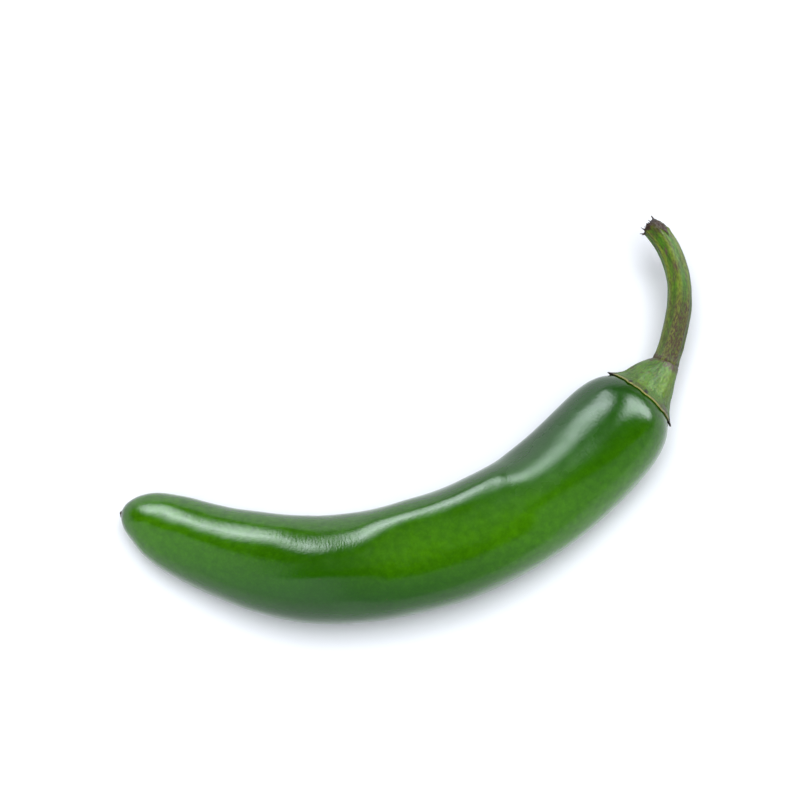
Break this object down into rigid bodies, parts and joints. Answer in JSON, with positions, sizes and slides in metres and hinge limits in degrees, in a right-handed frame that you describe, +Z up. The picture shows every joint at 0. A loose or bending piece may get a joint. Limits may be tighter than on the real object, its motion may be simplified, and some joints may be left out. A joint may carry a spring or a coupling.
{
  "type": "chilli pepper",
  "caption": "Fresh green chilli pepper lying on its side: a blunt, bent, glossy pod with a toothed calyx on its shoulder and a thin ribbed stalk that curves back to a torn end.",
  "frame": {"origin": "on the surface that the pepper lies on, under the centre of its bounding box", "axes": "+X runs from the pod's tip towards its stalk end, the longest extent; +Y runs from the belly of the bend towards the stalk's torn end; +Z is up from the surface, the shortest extent"},
  "size_m": [0.1017, 0.0727, 0.0202],
  "materials": {
    "pod_skin": "smooth waxy fruit skin, glossy",
    "calyx": "green plant tissue, satin to matte",
    "stalk": "ribbed green stalk with dry brown patches, matte"
  },
  "bodies": {
    "root": {"pod": "pod_skin", "calyx": "calyx", "stalk": "stalk"}
  },
  "joints": []
}
